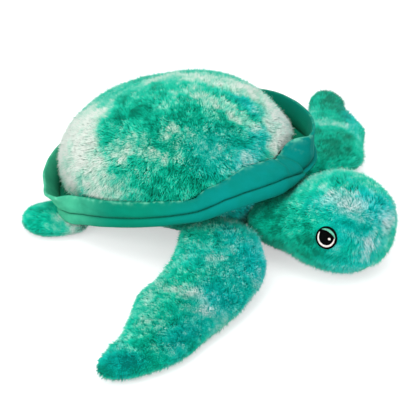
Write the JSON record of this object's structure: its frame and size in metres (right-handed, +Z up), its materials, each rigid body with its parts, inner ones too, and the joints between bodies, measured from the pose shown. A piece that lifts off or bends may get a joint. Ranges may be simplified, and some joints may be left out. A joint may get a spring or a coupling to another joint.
{
  "type": "plush sea turtle",
  "caption": "Stuffed sea turtle with a domed furry shell in a standing suede rim, a rounded head with embroidered eyes, and sewn-on flippers that flap.",
  "frame": {"origin": "middle of the flat belly, on the surface that the toy rests on", "axes": "+X to the head end, +Y to the turtle's left side, +Z up"},
  "size_m": [0.3632, 0.5254, 0.1387],
  "materials": {
    "shell_plush": "long-pile plush, tie-dyed teal green and mint",
    "rim_suede": "short-napped suede-like cloth, green teal",
    "limb_plush": "long-pile plush, tie-dyed teal and mint",
    "belly_plush": "short-pile plush, teal",
    "head_plush": "long-pile plush, tie-dyed teal and pale mint",
    "filling": "loose white polyester fibre",
    "black_thread": "satin-stitched black thread",
    "white_thread": "satin-stitched white thread",
    "mint_thread": "satin-stitched pale mint thread"
  },
  "bodies": {
    "body": {"shell_cover": "shell_plush", "shell_collar": "rim_suede", "rim_lower_band": "rim_suede", "belly_cover": "belly_plush", "body_stuffing": "filling"},
    "head": {"head_gusset": "head_plush", "head_side_left": "head_plush", "head_side_right": "head_plush", "head_stuffing": "filling", "eye_black_left": "black_thread", "eye_white_left": "white_thread", "eye_lid_left": "mint_thread", "eye_glint_left": "white_thread", "eye_black_right": "black_thread", "eye_white_right": "white_thread", "eye_lid_right": "mint_thread", "eye_glint_right": "white_thread"},
    "front_flipper_left": {"front_flipper_left_top_panel": "limb_plush", "front_flipper_left_bottom_panel": "limb_plush", "front_flipper_left_stuffing": "filling"},
    "front_flipper_right": {"front_flipper_right_top_panel": "limb_plush", "front_flipper_right_bottom_panel": "limb_plush", "front_flipper_right_stuffing": "filling"},
    "rear_flipper_left": {"rear_flipper_left_top_panel": "limb_plush", "rear_flipper_left_bottom_panel": "limb_plush", "rear_flipper_left_stuffing": "filling"},
    "rear_flipper_right": {"rear_flipper_right_top_panel": "limb_plush", "rear_flipper_right_bottom_panel": "limb_plush", "rear_flipper_right_stuffing": "filling"}
  },
  "joints": [
    {"name": "head_nod", "type": "hinge", "parent": "body", "child": "head", "pos_m": [0.106, -0.003, 0.034], "axis": [0.1736, 0.9848, 0], "range_deg": [-12, 20], "stiffness_Nm_per_rad": 1},
    {"name": "front_flipper_left_flap", "type": "hinge", "parent": "body", "child": "front_flipper_left", "pos_m": [0.074, 0.06, 0.025], "axis": [0.9703, -0.2419, 0], "range_deg": [-30, 30], "stiffness_Nm_per_rad": 0.5},
    {"name": "front_flipper_right_flap", "type": "hinge", "parent": "body", "child": "front_flipper_right", "pos_m": [0.074, -0.06, 0.025], "axis": [-0.9703, -0.2419, 0], "range_deg": [-30, 30], "stiffness_Nm_per_rad": 0.5},
    {"name": "rear_flipper_left_flap", "type": "hinge", "parent": "body", "child": "rear_flipper_left", "pos_m": [-0.0795, 0.0505, 0.0086], "axis": [0.9063, 0.4226, 0], "range_deg": [-25, 6], "stiffness_Nm_per_rad": 0.3},
    {"name": "rear_flipper_right_flap", "type": "hinge", "parent": "body", "child": "rear_flipper_right", "pos_m": [-0.0795, -0.0505, 0.0086], "axis": [-0.9063, 0.4226, 0], "range_deg": [-25, 6], "stiffness_Nm_per_rad": 0.3}
  ]
}
